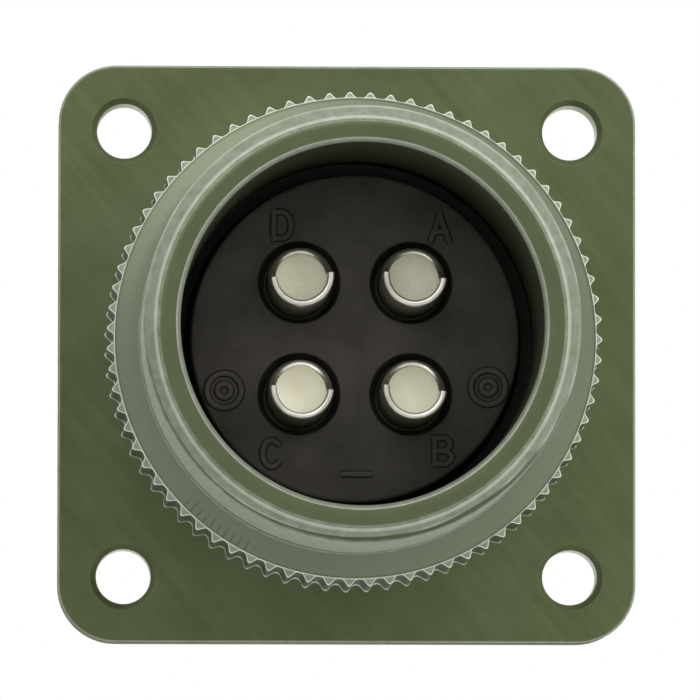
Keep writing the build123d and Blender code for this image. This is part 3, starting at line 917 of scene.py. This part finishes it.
def addStroke(surface, path, height, facing, closed=False):
    # raised stroke: a flattened tube along the path, round at both ends.
    # section: across = w/2 cos t, out = raise sin t, with the tube's middle on the insert's face
    z = letterSizes
    path = np.asarray(path, float)
    if closed:
        ahead, behind = np.roll(path, -1, axis=0), np.roll(path, 1, axis=0)
    else:
        ahead, behind = np.vstack([path[1:], path[-1:]]), np.vstack([path[:1], path[:-1]])
    along = ahead - behind
    along /= np.linalg.norm(along, axis=1, keepdims=True)
    across = np.stack([-along[:, 1], along[:, 0]], -1)
    t = evenAngles(z["sectionColumns"])
    squared = np.sign(np.sin(t)) * np.abs(np.sin(t)) ** 0.55
    width = np.full(len(path), z["stroke"] / 2)
    if not closed:
        # half-round ends: extra rows beyond the first and last corner, narrowing to a point
        reach = np.linspace(1, 0, 5)[:-1]
        startRows = path[0] - along[0] * (z["stroke"] / 2) * reach[:, None]
        endRows = path[-1] + along[-1] * (z["stroke"] / 2) * reach[::-1, None]
        endWidth = z["stroke"] / 2 * np.sqrt(1 - reach ** 2).clip(1e-3)
        path = np.vstack([startRows, path, endRows])
        across = np.vstack([np.repeat(across[:1], 4, 0), across, np.repeat(across[-1:], 4, 0)])
        width = np.concatenate([endWidth, width, endWidth[::-1]])
    flat = path[:, None, :] + across[:, None, :] * (width[:, None] * np.cos(t))[..., None]
    out = np.broadcast_to(z["raise"] * squared * facing, flat.shape[:2])
    points = np.stack([flat[..., 0], height + out, flat[..., 1]], -1)
    rows = np.concatenate([points, points[:1]]) if closed else points
    index = ringIndex(*rows.shape[:2])
    triangles = gridTriangles(index)
    if not closed:
        caps = [fanTriangles(index[0, :-1], -1), fanTriangles(index[-1, :-1], 1)]
        triangles = np.concatenate([triangles] + caps)
    corner = rows.reshape(-1, 3)[triangles]
    middle = np.array([0.0, height, 0.0])
    a, b, c = (corner[:, k] - middle for k in range(3))
    if np.einsum("ij,ij->", a, np.cross(b, c)) < 0:
        triangles = triangles[:, ::-1]
    outline = (np.abs(np.cos(t)) > z["outline"]) * 1.0      # the stroke's foot gets a painted shade line
    addPatch(surface, rows, triangles, np.broadcast_to(outline, rows.shape[:2]))


def letterPaths(letter):
    # strokes in units of the letter's half width and half height
    bend = np.linspace(0, 1, 17)
    if letter == "a":
        return [[(-1, -1), (0, 1)], [(0, 1), (1, -1)], [(-0.62, -0.3), (0.62, -0.3)]]
    if letter == "b":
        upper = [(0.25 + 0.55 * math.sin(math.pi * t), 1 - t) for t in bend]
        lower = [(0.3 + 0.7 * math.sin(math.pi * t), -t) for t in bend]
        return [[(-0.9, -1), (-0.9, 1)], [(-0.9, 1), (0.25, 1)] + upper[1:] + [(-0.9, 0)],
                [(0.25, 0)] + lower[1:] + [(-0.9, -1)]]
    if letter == "c":
        turns = np.linspace(0.82, 2 * math.pi - 0.82, 33)
        return [[(0.1 + math.cos(a), math.sin(a)) for a in turns]]
    bowl = [(0.05 + 0.95 * math.sin(math.pi * t), math.cos(math.pi * t)) for t in bend]
    return [[(-0.9, -1), (-0.9, 1)], [(-0.9, 1)] + bowl + [(-0.9, -1)]]


def addMarks(surface, height, facing, places):
    # letters, rings and bars at their places. On the mating face x is turned round, as it is seen there
    z = letterSizes
    for letter, (x, h) in places["letters"].items():
        for stroke in letterPaths(letter):
            path = [(x - facing * u * z["width"] / 2, h + v * z["height"] / 2) for u, v in stroke]
            addStroke(surface, path, height, facing)
    turns = evenAngles(48)
    for x, h in places["rings"]:
        addStroke(surface, circle(z["ring"], turns, (x, h)), height, facing, closed=True)
        addStroke(surface, circle(z["innerRing"], turns, (x, h)), height, facing, closed=True)
    for x, h in places["bars"]:
        addStroke(surface, [(x - z["bar"] / 2, h), (x + z["bar"] / 2, h)], height, facing)


rearMarks = {
    "letters": {"a": (5.01, 6.56), "b": (5.20, -6.63), "c": (-4.95, -6.81), "d": (-4.33, 6.70)},
    "rings": [(-7.71, -3.10), (7.87, -2.86)], "bars": [(0.12, -8.01)],
}
frontMarks = {
    "letters": {"a": (4.7, 6.5), "b": (4.7, -6.5), "c": (-4.7, -6.5), "d": (-4.7, 6.5)},
    "rings": [], "bars": [],
}


def buildInsert(name, node, outside, hole, marks):
    # a half of the insulator: the outside's rows run towards -y and each hole's towards +y, so that
    # both face outwards, and the two flat faces join their ends
    facing = 1 if name == "frontInsert" else -1
    holeAngles = evenAngles(insertSizes["holeColumns"])
    surface = newSurface()
    addTurned(surface, outside, insertAngles)
    for x, h in contactPlaces().values():
        addTurned(surface, hole, holeAngles, centre=(x, h))
    for end, way in ((0, 1), (-1, -1))[::facing]:
        # the outside's first row and the holes' last one lie in the flat towards the mating side
        outline = circle(outside[end][0], insertAngles)
        holes = [circle(hole[-1 - end][0], holeAngles, place) for place in contactPlaces().values()]
        addFlat(surface, outside[end][1], outline, holes, way)
    addMarks(surface, hole[-1 if facing > 0 else 0][1], facing, marks)
    return finishPiece(surface, name, blackMoulding, "receptacle", [node])


def buildRearInsert():
    # profiles (r, y) of the solder side's half, from its split towards -y
    z = insertSizes
    face, split = rearLow[1], rearHigh[1]
    radius, cut = z["rearRadius"], z["rearChamfer"]
    floor, pocket = face + z["recessDepth"], split - z["collarDepth"]
    buildInsert("rearInsert", "rear_insert", [
        (ribbed, split, 0.0),
        (ribbed, z["flangeEnd"], 0.0),
        (radius, z["flangeEnd"], 0.0),
        (radius, face + cut, 0.0),
        (radius - 0.3 * cut, face + 0.3 * cut, 0.6),
        (radius - cut, face, 0.3),
    ], [
        (z["recess"] + 0.06, face, 0.2),
        (z["recess"], face + 0.05, 0.4),
        (z["recessFloor"] + 0.05, floor - 0.08, 0.0),
        (z["recessFloor"] - 0.02, floor, 0.0),
        (z["stem"], floor, 0.0),
        (z["stem"], pocket, 0.0),
        (z["collarPocket"], pocket, 0.0),
        (z["collarPocket"], split, 0.0),
    ], rearMarks)


def buildFrontInsert():
    # profiles (r, y) of the mating side's half, from its face towards -y
    z = insertSizes
    face, split = frontHigh[1], frontLow[1]
    radius, cut = z["frontRadius"], z["frontChamfer"]
    entry, pocket = face - z["entryWall"], split + z["collarDepth"]
    buildInsert("frontInsert", "front_insert", [
        (radius - cut, face, 0.3),
        (radius - 0.3 * cut, face - 0.3 * cut, 0.6),
        (radius, face - cut, 0.2),
        (radius, z["lipSeat"], 0.0),
        (ribbed, z["lipSeat"], 0.0),
        (ribbed, split, 0.0),
    ], [
        (z["collarPocket"], split, 0.0),
        (z["collarPocket"], pocket, 0.0),
        (z["socketPocket"], pocket, 0.0),
        (z["socketPocket"], entry, 0.0),
        (z["entry"], entry, 0.0),
        (z["entryMouth"] - 0.04, face - 0.08, 0.0),
        (z["entryMouth"] + 0.02, face, 0.0),
    ], frontMarks)


buildRearInsert()
buildFrontInsert()


# Washer and split ring behind the insulator

washerSizes = {"innerGap": 0.1, "corner": 0.06, "columns": 160}
ringSizes = {"halfGap": 2.0, "inner": 9.95, "outer": 11.15, "corner": 0.08, "columns": 181}


def buildWasher():
    # a turned rectangle with two corners broken
    surface = newSurface()
    inner, outer = insertSizes["rearRadius"] + washerSizes["innerGap"], washerHigh[0]
    low, high, corner = washerLow[1], washerHigh[1], washerSizes["corner"]
    addLoop(surface, [
        (inner, high, 0.0), (outer, high, 0.0), (outer, low + corner, 0.0), (outer - corner, low, 0.5),
        (inner + corner, low, 0.5), (inner, low + corner, 0.0),
    ], evenAngles(washerSizes["columns"]))
    return finishPiece(surface, "insertWasher", springSteel, "receptacle",
                       ["insert_washer"])


def buildSplitRing():
    # rectangle with broken corners, carried round from one end of the gap to the other
    inner, outer, corner = ringSizes["inner"], ringSizes["outer"], ringSizes["corner"]
    low, high = ringLow[1], ringHigh[1]
    section = [(inner, high - corner), (inner + corner, high),
               (outer - corner, high), (outer, high - corner),
               (outer, low + corner), (outer - corner, low),
               (inner + corner, low), (inner, low + corner)]
    radii = np.array([r for r, _ in section])[:, None]
    heights = np.array([y for _, y in section])[:, None]
    start = np.arcsin(ringSizes["halfGap"] / radii)
    part = np.linspace(0, 1, ringSizes["columns"])[None, :]
    angles = 1.5 * np.pi + start + part * (2 * np.pi - 2 * start)
    points = turnedPoints(radii, heights, angles)
    rows, columns = points.shape[:2]
    index = np.arange(rows * columns).reshape(rows, columns)
    triangles = gridTriangles(np.concatenate([index, index[:1]], axis=0))
    ends = [fanTriangles(index[:, 0], 1), fanTriangles(index[:, -1], -1)]
    surface = newSurface()
    addPatch(surface, points, np.concatenate([triangles] + ends), 0.3)
    return finishPiece(surface, "retainingRing", springSteel, "receptacle",
                       ["insert_retaining_ring"])


buildWasher()
buildSplitRing()


# Contacts: solder cup, collar and slotted socket, each with its hood

contactSizes = {
    "cup": 1.875, "cupBore": 1.475, "cupDepth": 5.2, "drillAngle": 118.0,
    "edge": 0.13, "edgeRows": 9, "scoopLength": 4.0,
    "scoopRadius": 2.3, "collar": 2.45, "collarHalf": 1.3, "socket": 1.85, "socketBore": 1.22,
    "boreDepth": 9.6, "tail": 0.2, "tineColumns": 41, "slotColumns": 7, "mouth": 0.25,
    "slotHalf": 0.25, "slotLength": 8.4, "quarterColumns": 26,
    "turns": {"a": -6.0, "b": -6.0, "c": -4.0, "d": 5.0},
}
sleeveSizes = {"inner": 1.87, "outer": 2.05, "lip": 1.32, "lipThickness": 0.25}


def scoopHeight(z, tip):
    # height at which the scoop cuts the wall: the tip below the axis plane, and above it the round
    # cutter's run-out y = tip + length - R + sqrt(R^2 - (R - z)^2)
    s = contactSizes
    reach = s["scoopRadius"]
    lift = np.sqrt(np.maximum(reach ** 2 - (reach - np.clip(z, 0, reach)) ** 2, 0))
    return np.where(z > 0, tip + s["scoopLength"] - reach + lift, tip)


def cupAngles():
    # denser columns where the scoop leaves the axis plane, with a pair of columns at the step
    s = contactSizes
    t = np.linspace(0, 1, s["quarterColumns"])
    tiny = 0.0015
    upper = tiny + (np.pi / 2 - tiny) * t ** 1.8
    lower = np.linspace(-np.pi / 2, -tiny, s["quarterColumns"])
    right = np.concatenate([lower, upper])
    left = np.pi - right[::-1]
    return np.concatenate([right, left[1:-1]])


def buildContact(letter):
    # a turned body (r, y), cut by the scoop at the cup and by a straight slot at the socket
    s = contactSizes
    low, high = boxOf("contact_" + letter)
    tip, front = low[1], high[1]
    split = rearHigh[1]
    angles = cupAngles()
    edge = s["edge"]
    outerRim = scoopHeight(s["cup"] * np.sin(angles), tip)
    innerRim = scoopHeight(s["cupBore"] * np.sin(angles), tip)
    floor = tip + s["cupDepth"]
    point = s["cupBore"] / math.tan(math.radians(s["drillAngle"] / 2))
    surface = newSurface()
    # from the socket end along the outside to the cup's rim, then down its bore to the drill point
    even = np.linspace(-np.pi / 2, 1.5 * np.pi, len(angles), endpoint=False)
    tailLine = front - s["boreDepth"] - s["tail"]
    ahead, behind = split + s["collarHalf"], split - s["collarHalf"]
    collarRows = [
        (s["socket"], tailLine, 0.0),
        (s["socket"], ahead, 0.0),
        (s["collar"] - 0.08, ahead, 0.0),
        (s["collar"], ahead - 0.08, 0.2),
        (s["collar"], behind + 0.08, 0.2),
        (s["collar"] - 0.08, behind, 0.0),
        (s["cup"], behind, 0.0),
    ]
    cupRows = [
        (s["cup"], floor + 1.0, 0.0),
        (s["cup"], outerRim + 0.6 * (floor - outerRim).clip(0), 0.0),
    ]
    # the wall's end is half round: r = middle + half cos t, y = rim + edge (1 - sin t)
    middle, half = 0.5 * (s["cup"] + s["cupBore"]), 0.5 * (s["cup"] - s["cupBore"])
    for t in np.linspace(0, np.pi, s["edgeRows"]):
        rimHere = outerRim + (innerRim - outerRim) * 0.5 * (1 - math.cos(t))
        cupRows.append((middle + half * math.cos(t), rimHere + edge * (1 - math.sin(t)), 0.0))
    cupRows += [
        (s["cupBore"], innerRim + edge + 0.04, -1.0),
        (s["cupBore"], innerRim + edge + 0.6 * (floor - innerRim - edge).clip(0), -1.0),
        (s["cupBore"], floor, -1.0),
        (s["cupBore"] - 0.06, floor + 0.05, -1.0),
        (0.5 * s["cupBore"], floor + 0.5 * point, -1.0),
        (0.12, floor + point * (1 - 0.12 / s["cupBore"]), -1.0),
        (0.0, floor + point, -1.0),
    ]
    columns = np.stack([even] * len(collarRows) + [angles] * len(cupRows))
    addTurned(surface, collarRows + cupRows, columns)
    # slotted socket: the front edge drops to the slot's root between a pair of columns at x = -+half slot
    half, rootLine = s["slotHalf"], front - s["slotLength"]

    def socketAngles(radius):
        gap = math.asin(half / radius)
        tine = np.linspace(-np.pi / 2 + gap, np.pi / 2 - gap, s["tineColumns"])
        slot = np.linspace(np.pi / 2 - gap, np.pi / 2 + gap, s["slotColumns"])
        return np.concatenate([tine, slot, tine + np.pi, slot + np.pi])

    inSlot = np.tile(np.arange(s["tineColumns"] + s["slotColumns"]) >= s["tineColumns"], 2)
    floorLine = front - s["boreDepth"]
    mouth = s["socketBore"] + s["mouth"]
    sections = []
    for radius, height in (
        (0.0, floorLine), (0.9 * s["socketBore"], floorLine), (s["socketBore"], floorLine + 0.1),
        (s["socketBore"], rootLine), (s["socketBore"], front - s["mouth"]), (mouth, front),
        (s["socket"] - 0.1, front), (s["socket"], front - 0.1), (s["socket"], rootLine),
        (s["socket"], tailLine),
    ):
        level = np.where(inSlot, min(height, rootLine), height)
        sections.append(turnedPoints(radius, level, socketAngles(max(radius, 0.6))))
    socketRows = np.stack(sections)
    tail = turnedPoints(s["socket"], tailLine, even)
    addPatch(surface, socketRows, gridTriangles(ringIndex(*socketRows.shape[:2])), 0.0)
    # close the join between the even columns and the socket's own columns with two flat caps
    for ring, side in ((tail, -1), (sections[-1], 1)):
        around = ringIndex(1, len(ring))[0]
        fan = np.stack([around[:-1], around[1:], np.full(len(ring), len(ring))], -1)
        addPatch(surface, np.concatenate([ring, [[0.0, tailLine, 0.0]]]), fan[:, ::side], 0.0)
    x, h = contactPlaces()[letter]
    turn = math.radians(s["turns"][letter])
    for k, points in enumerate(surface["points"]):
        # turned about the contact's own axis, then moved to its place
        px, py, pz = points.T
        surface["points"][k] = np.stack([x + px * math.cos(turn) - pz * math.sin(turn), py,
                                         h + px * math.sin(turn) + pz * math.cos(turn)], -1)
    return finishPiece(surface, "contact" + letter.upper(), silverPlate, "receptacle",
                       ["contact_" + letter])


def buildSleeve(letter):
    # a thin turned tube with a lip bent over the socket's mouth
    s = sleeveSizes
    rear, front = sleeveLow[1], sleeveHigh[1]
    wall = s["outer"] - s["inner"]
    surface = newSurface()
    addLoop(surface, [
        (s["inner"], rear, 0.2), (s["inner"], front - s["lipThickness"], 0.0),
        (s["lip"], front - s["lipThickness"], 0.0), (s["lip"], front, 0.4),
        (s["outer"] - wall, front, 0.3), (s["outer"] - 0.3 * wall, front - 0.3 * wall, 0.6),
        (s["outer"], front - wall, 0.2), (s["outer"], rear, 0.2),
    ], evenAngles(72), centre=contactPlaces()[letter])
    return finishPiece(surface, "contactSleeve" + letter.upper(), springSteel, "receptacle",
                       ["contact_sleeve_" + letter])


for contactLetter in "abcd":
    buildContact(contactLetter)
    buildSleeve(contactLetter)


# Floor, light and camera

stageSizes = {"floorHeight": -0.062, "floorSize": 6.0, "tone": (0.86, 0.86, 0.85, 1.0), "roughness": 0.8}


def buildStage():
    # a flat square floor below the part
    half = stageSizes["floorSize"] / 2
    corners = [(-half, -half), (half, -half), (half, half), (-half, half)]
    mesh = bpy.data.meshes.new("floor")
    mesh.from_pydata([(x, y, stageSizes["floorHeight"]) for x, y in corners], [], [(0, 1, 2, 3)])
    floor = bpy.data.objects.new("floor", mesh)
    bpy.context.scene.collection.objects.link(floor)
    material = bpy.data.materials.new("paleFloor")
    material.use_nodes = True
    shader = material.node_tree.nodes["Principled BSDF"]
    shader.inputs["Base Color"].default_value = stageSizes["tone"]
    shader.inputs["Roughness"].default_value = stageSizes["roughness"]
    mesh.materials.append(material)


worldLight = {
    "camera": 1.0, "around": 0.92, "topShare": 0.20, "bandShare": 0.12, "bandAngle": 100.0,
    "towardsCamera": 0.18, "coneFrom": -0.995, "coneTo": -0.93, "diffuse": 0.50,
}


def buildWorld():
    # white for the camera and a plain level for diffuse light. Gloss sees a bright surround with a
    # dark opening where the camera stands: around (1 + topShare sin a + bandShare cos 2(a - band)),
    # with a the angle round the connector's axis
    z = worldLight
    world = bpy.data.worlds.new("studio")
    bpy.context.scene.world = world
    world.use_nodes = True
    making["tree"] = world.node_tree
    background = world.node_tree.nodes["Background"]
    background.inputs["Color"].default_value = (1.0, 1.0, 1.0, 1.0)
    split = addNode("ShaderNodeSeparateXYZ")
    feed(addNode("ShaderNodeTexCoord").outputs["Generated"], split.inputs[0])
    x, y, up = split.outputs
    turn = calc("ARCTAN2", up, x)
    once = calc("MULTIPLY", calc("SINE", turn), z["topShare"])
    double = calc("MULTIPLY", calc("SUBTRACT", turn, math.radians(z["bandAngle"])), 2.0)
    twice = calc("MULTIPLY", calc("COSINE", double), z["bandShare"])
    surround = calc("MULTIPLY", calc("ADD", calc("ADD", once, twice), 1.0), z["around"])
    away = addNode("ShaderNodeMapRange", interpolation_type="SMOOTHSTEP")
    feed(y, away.inputs[0])
    away.inputs[1].default_value, away.inputs[2].default_value = z["coneFrom"], z["coneTo"]
    path = addNode("ShaderNodeLightPath")
    gloss = calc("MAXIMUM", path.outputs["Is Glossy Ray"], path.outputs["Is Transmission Ray"])
    level = surround
    for factor, first in ((away.outputs[0], z["towardsCamera"]), (gloss, z["diffuse"])):
        level = mixNumber(factor, first, level)
    level = mixNumber(path.outputs["Is Camera Ray"], level, z["camera"])
    feed(level, background.inputs["Strength"])


lampSizes = {
    "key": {"place": (0.60, -0.74, 0.46), "size": 0.8, "power": 7.4, "gloss": False},
    "front": {"place": (-0.06, -0.95, 0.16), "size": 0.3, "power": 0.55, "gloss": False},
    "top": {"place": (-0.20, -0.88, 0.36), "size": 0.4, "power": 0.9, "gloss": True},
}


def buildLamps():
    # square area lamps that look at the origin
    for name, z in lampSizes.items():
        data = bpy.data.lights.new(name, "AREA")
        data.size, data.energy = z["size"], z["power"]
        lamp = bpy.data.objects.new(name, data)
        lamp.location = z["place"]
        lamp.visible_glossy = z["gloss"]
        lamp.rotation_euler = (-Vector(z["place"])).to_track_quat("-Z", "Y").to_euler()
        bpy.context.scene.collection.objects.link(lamp)


cameraSizes = {"place": (-0.01971, -0.6032, -0.03869), "yaw": 1.904, "pitch": 3.711, "roll": 0.078,
               "lens": 511.8, "sensor": 36.0, "clip": (0.01, 50.0)}


def buildCamera():
    # yaw, pitch and roll in degrees, from a view straight along +y
    z = cameraSizes
    data = bpy.data.cameras.new("camera")
    data.lens, data.sensor_width = z["lens"], z["sensor"]
    data.clip_start, data.clip_end = z["clip"]
    camera = bpy.data.objects.new("camera", data)
    camera.location = z["place"]
    camera.rotation_euler = [math.radians(angle) for angle in (90 + z["pitch"], -z["roll"], -z["yaw"])]
    bpy.context.scene.collection.objects.link(camera)
    bpy.context.scene.camera = camera


buildStage()
buildWorld()
buildLamps()
buildCamera()
bpy.context.scene.view_settings.view_transform = "Standard"
print("stage ready")
